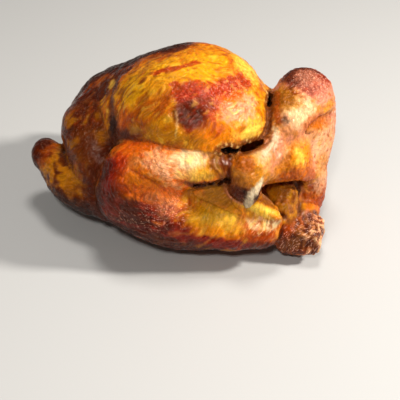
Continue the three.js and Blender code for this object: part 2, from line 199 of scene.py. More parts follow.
def noise(p, size, seed=0):
    """Smooth noise of about -1 to 1, with lumps of the given size in mm, or of three sizes along x, y and z."""
    q = p / np.array(size, float) + SEED_SHIFT * seed
    cell = np.floor(q).astype(int)
    f = q - cell
    fade = f**3 * (f * (f * 6 - 15) + 10)
    total = np.zeros(len(p))
    for corner in itertools.product((0, 1), repeat=3):
        at = tuple(((cell + corner) % LATTICE).T)
        weight = np.prod(np.where(corner, fade, 1 - fade), axis=1)
        total += weight * ((f - corner) * SLOPES[at]).sum(1)
    return total * GAIN


def ragged(p, distance, size=3.6, amount=1.3):
    """The distance to a form whose edge is torn."""
    torn = distance.copy()
    close = distance < 4
    torn[close] += amount * noise(p[close], size, 21)
    return torn


def trunk(p):
    breast = join(ellipsoid(p, **BREAST_LOBE, side=NEAR), ellipsoid(p, **BREAST_LOBE, side=FAR), SOFT)
    breast = join(breast, ellipsoid(p, **BREAST_TIP), SOFT)
    made = join(ellipsoid(p, **BACK), join(breast, ellipsoid(p, **CROP), SMOOTH), SOFT)
    made = join(made, ellipsoid(p, **NECK), SOFT)
    made = join(join(made, block(p, **TAIL), SNUG), limb(p, TAIL_ROOT), CREASE)
    for side in (NEAR, FAR):
        made = join(made, limb(p, UPPER_ARM, side), SNUG)
    made = join(made, limb(p, RAISED_FLANK), SOFT)
    made = join(made, limb(p, RAISED_SKIN), SNUG)
    made = cut(made, ellipsoid(p, **CAVITY), CREASE)
    return join(made, limb(p, CAVITY_LIP, NEAR), CREASE)


def folded_leg(p):
    folded = join(limb(p, FOLDED_THIGH, NEAR), limb(p, FOLDED_SHANK, NEAR), CREASE)
    folded = join(folded, limb(p, FOLDED_KNEE_SKIN, NEAR), SNUG)
    return join(folded, limb(p, LIP_FLAP, NEAR), SNUG)


def raised_leg(p):
    raised = join(limb(p, RAISED_THIGH), limb(p, RAISED_SHANK), SNUG)
    raised = join(join(raised, limb(p, RAISED_ARCH), SOFT), ellipsoid(p, **RAISED_WEB), SNUG)
    raised = join(raised, ellipsoid(p, **RAISED_FAT), SNUG)
    raised = cut(raised, limb(p, CALF_FOLD), CREASE)
    for tendon in TENDONS:
        raised = join(raised, limb(p, tendon), CREASE)
    return join(raised, limb(p, SHANK_GRISTLE), CREASE)


def wing(p, side):
    return join(limb(p, FOREARM, side), limb(p, WING_TIP, side), SNUG)


def bird(p):
    made = join(join(trunk(p), folded_leg(p), CREASE), raised_leg(p), CREASE)
    made = cut(made, ellipsoid(p, **CAVITY_MOUTH), CREASE)
    made = cut(made, limb(p, TIP_GAP_DEPTH), CREASE)
    for gap in (BREAST_TIP_GAP, BREAST_SIDE_GAP, SHANK_GAP):
        made = cut(made, ragged(p, slot(p, gap)), TIGHT)
    made = join(made, ragged(p, limb(p, CAVITY_FLESH), 7, 2), CREASE)
    for side in (NEAR, FAR):
        made = join(made, wing(p, side), WING_CREASE)
    return np.maximum(made, -p[:, 2])


# ---------------------------------------------------------------------------------------------------------------
# From field to mesh
# ---------------------------------------------------------------------------------------------------------------

BLOCK = 5  # fine cells along the side of a coarse one
NEARBY = BLOCK * CELL * 1.3 + 2  # the field is worked out in coarse cells whose middle is this near the skin
FAR_OFF = 9.0  # value of the field elsewhere
STEP = 0.05  # for the field's slope


def sample(field):
    """The field on the fine grid, worked out only near the skin."""
    coarse = BLOCK * CELL
    count = np.ceil((HIGH - LOW) / coarse).astype(int)
    middles = [LOW[i] + coarse * (np.arange(count[i]) + 0.5) - CELL / 2 for i in range(3)]
    centres = np.stack(np.meshgrid(*middles, indexing="ij"), -1)
    rough = field(centres.reshape(-1, 3)).reshape(count)
    spread = lambda a: a.repeat(BLOCK, 0).repeat(BLOCK, 1).repeat(BLOCK, 2)
    values = np.where(spread(rough) < 0, -FAR_OFF, FAR_OFF)
    near = np.argwhere(spread(np.abs(rough) < NEARBY))
    values[tuple(near.T)] = field(LOW + CELL * near)
    return values


def nets(values):
    """Surface nets: one point in each cell that the skin passes through, one quad for each grid edge it crosses."""
    inside = values < 0
    shape = np.array(values.shape) - 1
    part = lambda offset: tuple(slice(o, o + n) for o, n in zip(offset, shape))
    full = sum(inside[part(o)].astype(np.uint8) for o in itertools.product((0, 1), repeat=3))
    active = (full > 0) & (full < 8)
    cells = np.argwhere(active)
    number = np.full(shape, -1, np.int64)
    number[active] = np.arange(len(cells))
    total, hits = np.zeros((len(cells), 3)), np.zeros(len(cells))
    for axis in range(3):
        for offset in itertools.product((0, 1), repeat=2):
            start = cells.copy()
            start[:, [i for i in range(3) if i != axis]] += offset
            end = start.copy()
            end[:, axis] += 1
            a, b = values[tuple(start.T)], values[tuple(end.T)]
            crossed = (a < 0) != (b < 0)
            place = start[crossed].astype(float)
            place[:, axis] += a[crossed] / (a[crossed] - b[crossed])
            total[crossed] += place
            hits[crossed] += 1
    points = LOW + CELL * total / hits[:, None]

    quads = []
    for axis in range(3):
        u, v = [(1, 2), (2, 0), (0, 1)][axis]
        step = np.zeros(3, int)
        step[axis] = 1
        a = inside[tuple(slice(1, -1) if i != axis else slice(0, -1) for i in range(3))]
        b = inside[tuple(slice(1, -1) if i != axis else slice(1, None) for i in range(3))]
        edges = np.argwhere(a != b)
        outward = a[tuple(edges.T)]
        edges += np.array([0 if i == axis else 1 for i in range(3)])
        corner = []
        for du, dv in ((-1, -1), (0, -1), (0, 0), (-1, 0)):
            cell = edges.copy()
            cell[:, u] += du
            cell[:, v] += dv
            corner.append(number[tuple(cell.T)])
        quad = np.stack(corner, 1)
        quad[~outward] = quad[~outward][:, ::-1]
        quads.append(quad)
    return points, np.concatenate(quads)


def onto(field, points, passes=2):
    """Brings the points onto the skin, and gives the outward directions there."""
    for _ in range(passes):
        here = field(points)
        slope = np.stack([field(points + STEP * np.eye(3)[i]) - here for i in range(3)], 1) / STEP
        size = np.maximum((slope**2).sum(1), 0.2)
        points = points - np.clip(here, -0.5, 0.5)[:, None] * slope / size[:, None]
    return points, slope / np.maximum(np.linalg.norm(slope, axis=1), 1e-9)[:, None]


base, quads = nets(sample(bird))
base, outward = onto(bird, base)
x, z = base[:, 0], base[:, 2]

# ---------------------------------------------------------------------------------------------------------------
# Relief of the skin: lumps, folds, wrinkles along the grain, goose flesh
# ---------------------------------------------------------------------------------------------------------------


def ramp(value, low, high):
    """0 up to low, 1 from high on, and a smooth rise between."""
    t = np.clip((value - low) / (high - low), 0, 1)
    return t * t * (3 - 2 * t)


def ringed(p, centre, axis, start, stretch, radius=40.0):
    """Places squeezed round an axis, so that a pattern made from them runs in rings."""
    axis = unit(axis)
    u = unit(np.array(start) - np.dot(start, axis) * axis)
    d = p - np.array(centre, float)
    x, y = d @ u, d @ np.cross(axis, u)
    return np.stack([np.hypot(x, y), np.arctan2(y, x) * radius / stretch, d @ axis / 2], 1)


def away(path, reach=20.0):
    """Distance from a smooth line through the points."""
    return limb(base, [(*point, 0) for point in path], reach=reach)


def on(distance, edge=1.0, fade=2.5):
    """1 where the skin belongs to a form, and 0 away from it."""
    return 1 - ramp(distance, edge, edge + fade)


from_folded_leg = folded_leg(base)
folded, raised = on(from_folded_leg), on(raised_leg(base))
legs = np.maximum(folded, raised)
wings = on(np.minimum(wing(base, NEAR), wing(base, FAR)))
arms = on(np.minimum(limb(base, UPPER_ARM, NEAR), limb(base, UPPER_ARM, FAR)), 2, 6) * (1 - wings) * (1 - legs)
tail = on(block(base, **TAIL), 2, 3) * (1 - legs)
flesh = on(limb(base, CAVITY_FLESH)) * (1 - legs)
inside = on(np.minimum(*(np.abs(ellipsoid(base, **hollow)) for hollow in (CAVITY, CAVITY_MOUTH))), 1, 2) * (1 - legs)
breast = (1 - np.maximum.reduce([wings, arms, legs, tail])) * ramp(z, 55, 70)
from_gaps = np.minimum(slot(base, BREAST_TIP_GAP), slot(base, BREAST_SIDE_GAP))
gaps = on(np.minimum(from_gaps, limb(base, TIP_GAP_DEPTH)), 1, 1.5)
uncut = np.minimum.reduce(
    [ellipsoid(base, **form) for form in (BREAST_TIP, BACK)]
    + [ellipsoid(base, **BREAST_LOBE, side=side) for side in (NEAR, FAR)]
    + [limb(base, form) for form in (RAISED_SHANK, RAISED_SKIN, RAISED_FLANK)]
    + [limb(base, FOLDED_SHANK, NEAR)]
)
# how deep each point lies inside the gaps, used for their painted shade
buried = ramp(-uncut, 0.6, 2.5) * gaps
# painted shade: how far each point lies in a hollow of the skin, for darkening the folds
crease_shade = ramp(4 - bird(base + 4 * outward), 0.6, 3.2)

# places from which the skin's grain is made, drawn out along each form
bent = base + 4 * np.stack([noise(base, 14, seed) for seed in (11, 12, 13)], 1)
flow = drawn(bent, (0.5, 0.45, 0.74), 4)
for where, places in (
    (arms, drawn(bent, (0.35, 0.3, 0.9), 3)),
    (wings, drawn(bent, (0.9, 0.2, 0.2), 2.5)),
    (raised, drawn(bent, (0.2, 0.4, 0.9), 2.5)),
    (folded, ringed(bent, (12, -60, 72), (0.3, -0.87, 0.38), (-1, 0, 0), 3)),
):
    flow = np.where(where[:, None] > 0.5, places, flow)

lumps = noise(base, 15, 1)
mottle = noise(base, 5, 5)
specks = noise(base, 2.6, 8)
pimples = noise(base, 3.4, 6) + 0.4 * mottle
wrinkles = noise(flow, 2.8, 3)
stripes = noise(flow, 4.5, 4)
bands = noise(flow, 8, 7)
ridged = noise(drawn(base, (0.3, 0.1, 1), 2.5), 3, 33)

relief = 0.8 * lumps + 0.5 * noise(base, 7, 2)
relief -= 0.65 * ramp(0.3 - np.abs(wrinkles), 0, 0.3) * (0.4 + 0.6 * legs)
relief -= 0.5 * ramp(0.2 - np.abs(stripes), 0, 0.2) * (0.5 + 0.5 * legs)
relief += tail * (0.9 * lumps + 0.9 * ramp(ridged, 0, 0.5)) + 0.4 * wings * np.maximum(pimples, 0)
relief += 0.8 * inside * mottle
SHOULDER_CREASE = [(-50, -20, 108), (-42, -34, 101), (-35, -43, 89), (-38, -45, 76), (-42, -47, 66)]
KNEE_FOLD = [(-4, -67, 80), (3, -67, 79), (10, -66, 77), (16, -65, 73), (19, -62, 70)]
KNEE_RIDGE = [(14, -60, 85), (20, -60, 79), (24, -57, 71)]
KNOB_EDGE = [(46, -27, 89), (48, -31, 85), (50, -36, 79), (50, -37, 73), (51, -36, 67)]
FURROWS = [  # path, width, and height above the skin
    (SHOULDER_CREASE, 4.0, -0.5),
    (KNEE_FOLD, 1.3, -0.9),
    (KNOB_EDGE, 1.4, -0.8),
    ([(13, -40, 115), (16, -43, 109), (17, -47, 102)], 1.0, 0.5),
    (KNEE_RIDGE, 3.0, 0.7),
    ([(44, 2, 113), (43, -4, 113)], 3.0, 0.8),
    ([(49, -16, 104), (52, -9, 103), (52, -2, 103)], 2.5, 0.9),
    ([(51, -16, 99), (54, -8, 98), (55, -3, 97)], 2.0, 0.9),
]
for path, width, height in FURROWS:
    relief += height * np.exp(-((away(path) / width) ** 2))
points = base + relief[:, None] * outward
points[:, 2] = np.maximum(points[:, 2], 0)

# ---------------------------------------------------------------------------------------------------------------
# Colour of the skin: browning, with painted shade and painted highlights, as colours on the mesh (sRGB 0-255 here)
# ---------------------------------------------------------------------------------------------------------------

CREAM, BUTTER, BONE = (236, 202, 146), (238, 190, 70), (204, 182, 146)
PEACH, PINK, ROSE = (224, 156, 110), (226, 138, 98), (206, 130, 102)
YELLOW, GOLD, MARIGOLD, AMBER = (212, 144, 10), (204, 128, 12), (220, 120, 2), (192, 92, 3)
OCHRE, OLIVE, TAN = (170, 103, 10), (158, 100, 12), (170, 100, 28)
ORANGE, RUST, BRICK, CRIMSON = (222, 96, 12), (150, 52, 4), (158, 36, 9), (116, 16, 4)
BROWN, MAHOGANY, PLUM, CHAR = (110, 50, 8), (70, 18, 3), (42, 9, 3), (20, 6, 2)

skin = np.tile(np.array(GOLD, float), (len(base), 1))
crackled = 0.1 + 0.5 * tail
RAGS = {  # patterns that roughen the edge of a patch
    "soft": lumps,
    "mottled": mottle,
    "speckled": specks + 0.5 * mottle,
    "streaky": 0.5 * stripes + 0.7 * bands,
    "scorched": wrinkles + bands,
    "frayed": wrinkles,
}


def paint(colour, strength):
    """Blends a colour over the skin, by a strength of 0 to 1 at each point."""
    skin[:] += (np.array(colour, float) - skin) * np.clip(strength, 0, 1)[:, None]


def spot(centre, radii, soft=0.4, rag=0.45, kind="streaky"):
    """1 in a rounded patch of skin, with a ragged edge."""
    distance = np.linalg.norm((base - np.array(centre, float)) / np.array(radii, float), axis=1) + rag * RAGS[kind]
    return 1 - ramp(distance, 1 - soft, 1 + soft)


def stroke(path, width, soft=0.4, rag=0.45, kind="streaky"):
    """1 along a line on the skin, with a ragged edge."""
    distance = away(path, 3 * width + 6) / width + rag * RAGS[kind]
    return 1 - ramp(distance, 1 - soft, 1 + soft)


def paint_spots(mask, rows):
    """Paints a table of spots on the part of the bird that the mask gives."""
    for colour, strength, centre, radii, kind in rows:
        paint(colour, strength * mask * spot(centre, radii, kind=kind))


def lines(size, seed, low=0.15, high=0.5):
    """Fine streaks along the grain."""
    return ramp(noise(flow, size, seed), low, high)


# the whole bird: golden, with wide browned patches and streaks
heat = noise(base, 36, 30) + 0.5 * noise(base, 15, 31)
paint(AMBER, 0.8 * ramp(bands, -0.2, 0.4))
paint(YELLOW, 0.6 * ramp(-heat, 0.1, 0.6))
paint(ORANGE, 0.7 * ramp(heat, 0.05, 0.5))
paint(BRICK, 0.7 * ramp(heat + 0.4 * stripes, 0.45, 0.9))
paint(RUST, 0.6 * lines(5, 9, 0.15, 0.6))
paint(YELLOW, 0.5 * lines(4, 10, 0.15, 0.6))
# darker towards the bottom: browning, with painted shade of the underside
paint(RUST, 0.8 * ramp(28 + 8 * lumps - z, 0, 16))
paint(MAHOGANY, 0.8 * ramp(18 + 6 * lumps - z, 0, 14))

# breast
BREAST_SPOTS = [  # colour, strength, centre, radii and kind of edge
    (GOLD, 0.8, (0, -20, 122), (34, 30, 18), "streaky"),
    (YELLOW, 0.85, (-2, -6, 130), (34, 24, 8), "streaky"),
    (GOLD, 0.8, (-10, -38, 116), (18, 12, 13), "streaky"),
    (GOLD, 0.8, (4, -42, 110), (16, 8, 10), "streaky"),
    (RUST, 0.6, (-14, -47, 97), (12, 8, 8), "scorched"),
    (AMBER, 0.8, (34, -37, 99), (12, 8, 5), "soft"),
    (OCHRE, 0.85, (2, -49, 98), (20, 8, 7), "streaky"),
    (YELLOW, 0.95, (-25, -34, 115), (12, 11, 10), "soft"),
    (MARIGOLD, 0.95, (38, -33, 105), (15, 13, 11), "soft"),
    (OCHRE, 0.8, (26, -44, 98), (12, 7, 5), "mottled"),
    (ORANGE, 0.8, (38, -10, 117), (9, 12, 6), "mottled"),
    (BRICK, 0.85, (25, -32, 116), (14, 14, 12), "scorched"),
    (MAHOGANY, 0.95, (21, -36, 114), (11, 10, 13), "soft"),
    (MAHOGANY, 0.5, (25, -29, 118), (9, 7, 6), "mottled"),
    (BRICK, 0.6, (28, -10, 121), (6, 12, 5), "mottled"),
    (RUST, 0.5, (34, -2, 119), (6, 8, 5), "mottled"),
    (GOLD, 0.6, (-1, -37, 119), (8, 6, 6), "mottled"),
    (BUTTER, 0.35, (-1, -37, 119), (9, 7, 6), "mottled"),
    (OLIVE, 0.7, (50, -22, 93), (9, 10, 3), "speckled"),
    (ORANGE, 0.4, (-1, -40, 116), (10, 6, 7), "streaky"),
    (GOLD, 0.6, (6, -49, 100), (9, 6, 5), "mottled"),
    (PINK, 0.85, (40, -20, 113), (7, 8, 5), "speckled"),
    # painted highlights: pinkish-white and peach where light glints on the breast's right
    (PINK, 0.9, (46, -10, 111), (8, 12, 7), "speckled"),
    (PEACH, 0.7, (44, 0, 113), (5, 6, 4), "speckled"),
    (BUTTER, 0.9, (52, -13, 99), (7, 14, 6), "mottled"),
    (BUTTER, 0.8, (27, 24, 121), (13, 12, 9), "soft"),
    (ORANGE, 0.6, (-46, -10, 110), (14, 16, 12), "streaky"),
]
paint_spots(breast, BREAST_SPOTS)
RED_BAND = [(12, -32, 123), (22, -23, 124), (27, -13, 123), (30, -2, 121), (33, 11, 119)]
BREAST_STROKES = [  # colour, strength, path, width, raggedness and kind of edge
    (BRICK, 0.85, RED_BAND, 5, 0.6, "scorched"),
    (BRICK, 0.8, [(3, -29, 127), (10, -26, 127), (17, -20, 127)], 2.4, 0.6, "scorched"),
    (BRICK, 0.8, [(-13, -24, 127), (-9, -21, 128), (0, -14, 130), (5, -2, 130)], 2.2, 0.7, "scorched"),
    (RUST, 0.45, [(-24, -45, 96), (-8, -43, 112), (8, -30, 126)], 3, 0.9, "scorched"),
    (RUST, 0.6, [(-14, -49, 92), (-2, -46, 108), (6, -38, 119)], 2, 0.9, "scorched"),
    (BROWN, 0.6, [(-18, -49, 86), (0, -51, 92), (16, -50, 94)], 2.5, 0.6, "mottled"),
]
for colour, strength, path, width, rag, kind in BREAST_STROKES:
    paint(colour, strength * breast * stroke(path, width, rag=rag, kind=kind))
paint(BRICK, 0.5 * breast * spot((21, -35, 115), (9, 9, 10), kind="soft") * ramp(specks, 0.1, 0.5))
smooth_patch = spot((38, -33, 105), (14, 12, 11), kind="soft")
red_band = stroke(RED_BAND, 7)
crackled += 0.5 * breast * red_band
paint(PINK, 0.6 * breast * red_band * ramp(wrinkles, 0.15, 0.5))
paint(BROWN, 0.6 * breast * lines(3, 14, 0.1, 0.45) * (1 - 0.7 * smooth_patch) * ramp(10 - x, 0, 30))
paint(RUST, 0.4 * breast * lines(3, 16, 0.2, 0.5) * (1 - smooth_patch))
paint(BUTTER, 0.45 * breast * lines(3, 15, 0.3, 0.6))
# painted highlight: a cream line along the small ridge on the breast
paint(CREAM, 0.5 * stroke([(13, -40, 115), (16, -43, 109), (17, -47, 101)], 0.7, rag=0.6, kind="speckled"))
SCORCH = [(-84, -6, 80), (-76, 0, 90), (-63, 2, 104), (-50, 2, 113), (-38, 8, 119), (-22, 14, 126)]
paint(RUST, 0.8 * stroke(SCORCH, 18, soft=0.7, rag=0.7))
paint(MAHOGANY, 0.9 * stroke(SCORCH, 12, soft=0.6, rag=0.5, kind="scorched"))
paint(PLUM, 0.95 * stroke(SCORCH, 8, soft=0.6, rag=0.6, kind="mottled"))
SCORCHED_SHOULDER = [(-68, -22, 90), (-60, -22, 97), (-50, -18, 108), (-44, -15, 114)]
paint(MAHOGANY, 0.9 * stroke(SCORCHED_SHOULDER, 7, rag=0.8, kind="mottled"))

# neck end, shoulders and wings
neck = on(ellipsoid(base, **NECK), 1, 6) * (1 - wings) * (1 - arms)
paint(AMBER, 0.6 * neck)
paint(RUST, 0.75 * neck * ramp(mottle + 0.6 * stripes, -0.1, 0.3))
paint(MAHOGANY, 0.8 * neck * ramp(lumps + 0.7 * mottle + 0.03 * (z - 38), 0.1, 0.5))
paint(MAHOGANY, 0.9 * arms)
paint(BROWN, 0.8 * arms * ramp(stripes + 0.5 * bands, 0, 0.4))
paint(OCHRE, 0.8 * arms * ramp(0.7 * stripes + 0.5 * bands + 0.014 * (74 - z), 0.1, 0.5))
paint(RUST, 0.5 * arms * ramp(wrinkles, 0.1, 0.5))
paint(BROWN, 0.8 * arms * spot((-50, -48, 68), (14, 12, 16)))
paint(MAHOGANY, 0.5 * arms * spot((-50, -48, 71), (8, 8, 9), kind="mottled"))
paint(OCHRE, 0.6 * spot((-44, -43, 77), (5, 5, 6), kind="mottled"))
paint(OCHRE, 0.9 * wings)
paint(GOLD, 0.5 * wings * lines(4, 17))
paint(MAHOGANY, 0.8 * wings * ramp(0.5 * lumps + 0.5 * mottle + 0.5 * stripes, 0, 0.4))
paint(RUST, 0.7 * wings * spot((-96, -45, 48), (10, 12, 8), kind="mottled"))
paint(MAHOGANY, 0.95 * wings * ramp(-x + 5 * mottle, 90, 100))
paint(MAHOGANY, 0.85 * wings * ramp(50 + 8 * mottle - z, 0, 16) * ramp(x, -72, -48))
paint(PLUM, 0.95 * wings * ramp(38 + 6 * mottle - z, 0, 12))
paint(CHAR, 0.85 * wings * ramp(22 + 6 * mottle - z, 0, 12))
# painted shade along the fold between shoulder and breast
paint(BROWN, 0.6 * stroke(SHOULDER_CREASE, 5, rag=1.2, kind="mottled"))
paint(MAHOGANY, 0.5 * stroke(SHOULDER_CREASE, 2.5, rag=1.2, kind="mottled"))
paint(PLUM, 0.95 * spot((-34, -43, 88), (6, 5, 8), kind="speckled"))
paint(MAHOGANY, 0.9 * spot((-43, -24, 108), (4, 4, 3), kind="speckled"))
paint(BUTTER, 0.7 * spot((-51, -22, 106), (5, 4, 3), kind="speckled"))

# folded leg
FOLDED_SPOTS = [
    (ORANGE, 1.0, (6, -58, 78), (40, 20, 24), "soft"),
    (AMBER, 0.5, (-4, -62, 80), (16, 10, 12), "scorched"),
    (YELLOW, 0.35, (4, -64, 74), (14, 10, 8), "scorched"),
    (PEACH, 0.4, (-2, -64, 80), (10, 8, 9), "scorched"),
    (AMBER, 0.5, (4, -68, 62), (14, 10, 5), "scorched"),
    (BRICK, 0.9, (12, -68, 52), (30, 14, 9), "frayed"),
    (CRIMSON, 0.95, (-2, -72, 48), (22, 14, 12), "frayed"),
    (CRIMSON, 0.9, (24, -65, 38), (26, 12, 9), "frayed"),
    (MAHOGANY, 0.9, (-6, -75, 50), (16, 12, 12), "frayed"),
    (MAHOGANY, 0.9, (6, -73, 38), (26, 12, 9), "frayed"),
    (BRICK, 0.8, (-16, -71, 68), (11, 14, 24), "frayed"),
    (CRIMSON, 0.95, (-23, -70, 62), (11, 14, 28), "soft"),
    (MAHOGANY, 0.9, (-29, -67, 58), (9, 14, 30), "frayed"),
    (RUST, 0.6, (-8, -70, 70), (9, 9, 9), "frayed"),
    (MAHOGANY, 0.8, (-8, -75, 58), (12, 9, 8), "frayed"),
    (ORANGE, 0.6, (11, -67, 66), (12, 9, 5), "frayed"),
    (PINK, 0.6, (21, -61, 56), (9, 8, 8), "frayed"),
    (ORANGE, 0.6, (3, -67, 77), (9, 8, 8), "streaky"),
    (MARIGOLD, 0.6, (3, -67, 76), (10, 8, 8), "scorched"),
    (ORANGE, 0.6, (12, -67, 66), (8, 8, 7), "frayed"),
    (PINK, 0.4, (13, -66, 64), (6, 8, 5), "frayed"),
    # pale skin on top of the knee and shank, with a painted highlight in peach and cream
    (PEACH, 0.8, (12, -58, 86), (12, 9, 9), "speckled"),
    (PEACH, 0.9, (30, -46, 88), (17, 11, 8), "mottled"),
    (CREAM, 0.85, (32, -46, 89), (16, 11, 5), "speckled"),
    (RUST, 0.5, (40, -39, 90), (8, 5, 4), "speckled"),
    (GOLD, 0.95, (37, -48, 80), (14, 8, 5), "mottled"),
    (CREAM, 0.45, (30, -53, 82), (9, 7, 5), "mottled"),
    (OCHRE, 0.9, (43, -39, 83), (8, 7, 8), "mottled"),
    (BROWN, 0.95, (47, -36, 83), (8, 7, 10), "mottled"),
    (MAHOGANY, 0.5, (47, -37, 84), (4, 4, 5), "speckled"),
    (BUTTER, 0.4, (37, -48, 79), (10, 7, 4), "mottled"),
    # painted shade: olive and brown on the thigh below the shank, which shades it
    (OLIVE, 0.95, (37, -41, 62), (16, 10, 8), "soft"),
    (BROWN, 0.7, (43, -38, 66), (14, 8, 4), "mottled"),
    (GOLD, 0.5, (34, -44, 60), (9, 7, 5), "soft"),
    (GOLD, 1.0, (45, -44, 46), (19, 12, 9), "frayed"),
    (YELLOW, 0.8, (48, -42, 47), (16, 10, 6), "mottled"),
    (BUTTER, 0.6, (56, -38, 46), (10, 9, 5), "mottled"),
    (MARIGOLD, 0.5, (45, -44, 44), (10, 8, 6), "mottled"),
    (BUTTER, 0.45, (45, -44, 45), (11, 8, 5), "frayed"),
    (AMBER, 0.8, (52, -46, 36), (24, 12, 5), "mottled"),
    (RUST, 0.8, (62, -36, 44), (6, 6, 5), "speckled"),
    (RUST, 0.95, (48, -50, 25), (36, 14, 9), "mottled"),
    (MARIGOLD, 0.6, (50, -45, 35), (16, 10, 5), "mottled"),
    (GOLD, 0.4, (47, -46, 37), (14, 10, 5), "frayed"),
    (MAHOGANY, 0.9, (38, -56, 20), (36, 14, 7), "mottled"),
    (RUST, 0.95, (72, -31, 29), (12, 9, 7), "mottled"),
    (PEACH, 0.9, (70, -28, 41), (8, 7, 5), "speckled"),
    (RUST, 0.95, (80, -18, 34), (7, 10, 8), "mottled"),
    (AMBER, 0.8, (80, -17, 33), (5, 7, 5), "mottled"),
    (AMBER, 0.9, (79, -12, 29), (6, 7, 5), "mottled"),
    # painted glints: cream specks on the lumps of the thigh's end
    (CREAM, 1.0, (76, -22, 40), (6, 6, 4), "speckled"),
    (GOLD, 0.7, (74, -21, 46), (5, 5, 3), "mottled"),
    (BUTTER, 0.4, (56, -38, 41), (10, 8, 5), "mottled"),
    (MAHOGANY, 0.8, (72, -28, 20), (16, 12, 8), "mottled"),
]
paint_spots(folded, FOLDED_SPOTS)
thigh_end = folded * spot((73, -25, 39), (13, 12, 9), kind="mottled")
paint(RUST, 0.5 * thigh_end * ramp(specks, 0.15, 0.4))
# pale specks: painted glints on the thigh's end
paint(CREAM, 0.6 * thigh_end * ramp(-specks, 0.2, 0.5))
UNDER_THIGH = [(-24, -70, 38), (11, -69, 37), (30, -59, 33), (48, -48, 27), (62, -38, 25)]
BELOW_THIGH = [(-24, -70, 30), (11, -68, 30), (30, -58, 23), (48, -47, 16), (62, -38, 14)]
# darker under the folded thigh: browning, with painted shade of its underside
paint(CRIMSON, 0.9 * folded * stroke(UNDER_THIGH, 5, rag=0.6, kind="mottled"))
paint(MAHOGANY, 0.9 * folded * stroke(BELOW_THIGH, 7, rag=0.6, kind="mottled"))
low_knee = spot((12, -70, 50), (36, 20, 18), kind="soft")
paint(PINK, 0.3 * folded * low_knee * ramp(wrinkles, 0.2, 0.5) * ramp(x, 0, 25))
paint(MAHOGANY, 0.4 * folded * low_knee * ramp(-wrinkles, 0.1, 0.4))
paint(BRICK, 0.35 * folded * lines(5, 18) * ramp(20 - x, 0, 20))
paint(BUTTER, 0.35 * folded * lines(3.5, 19) * ramp(x, 0, 40))
paint(PEACH, 0.6 * stroke(KNEE_RIDGE, 3.5, rag=0.9, kind="scorched"))
# painted shade: a rust line in the knee's fold
paint(RUST, 0.55 * stroke(KNEE_FOLD, 1.3, rag=0.8, kind="mottled"))
flap = on(limb(base, LIP_FLAP, NEAR), 0.3, 1.2) * folded * ramp(77 - x + 2 * mottle, 0, 4)
paint(BUTTER, 0.95 * flap)
paint(YELLOW, 0.6 * flap * ramp(mottle, 0, 0.4))
# painted shade in the gap under the shank
paint(MAHOGANY, 0.9 * on(slot(base, SHANK_GAP), 0.6, 1.5))
# painted shade: olive on the thigh below the shank
paint(OLIVE, 0.85 * spot((43, -36, 60), (14, 8, 9), rag=0.3, kind="mottled") * (1 - raised))
# painted shade on the body beside the knee
shade_beside_knee = ramp(12 + 3 * mottle - from_folded_leg, 0, 7) * (1 - folded) * ramp(-x, 0, 20)
paint(MAHOGANY, 0.9 * shade_beside_knee)
# painted shade where the knee meets the body
shaded_knee_join = folded * on(np.abs(from_folded_leg - trunk(base)), 2, 4) * ramp(-x, 18, 32)
paint(MAHOGANY, 0.9 * shaded_knee_join)
paint(PLUM, 0.5 * folded * ramp(mottle - 0.08 * (z - 46), 0.1, 0.8) * ramp(30 - x, 0, 30))

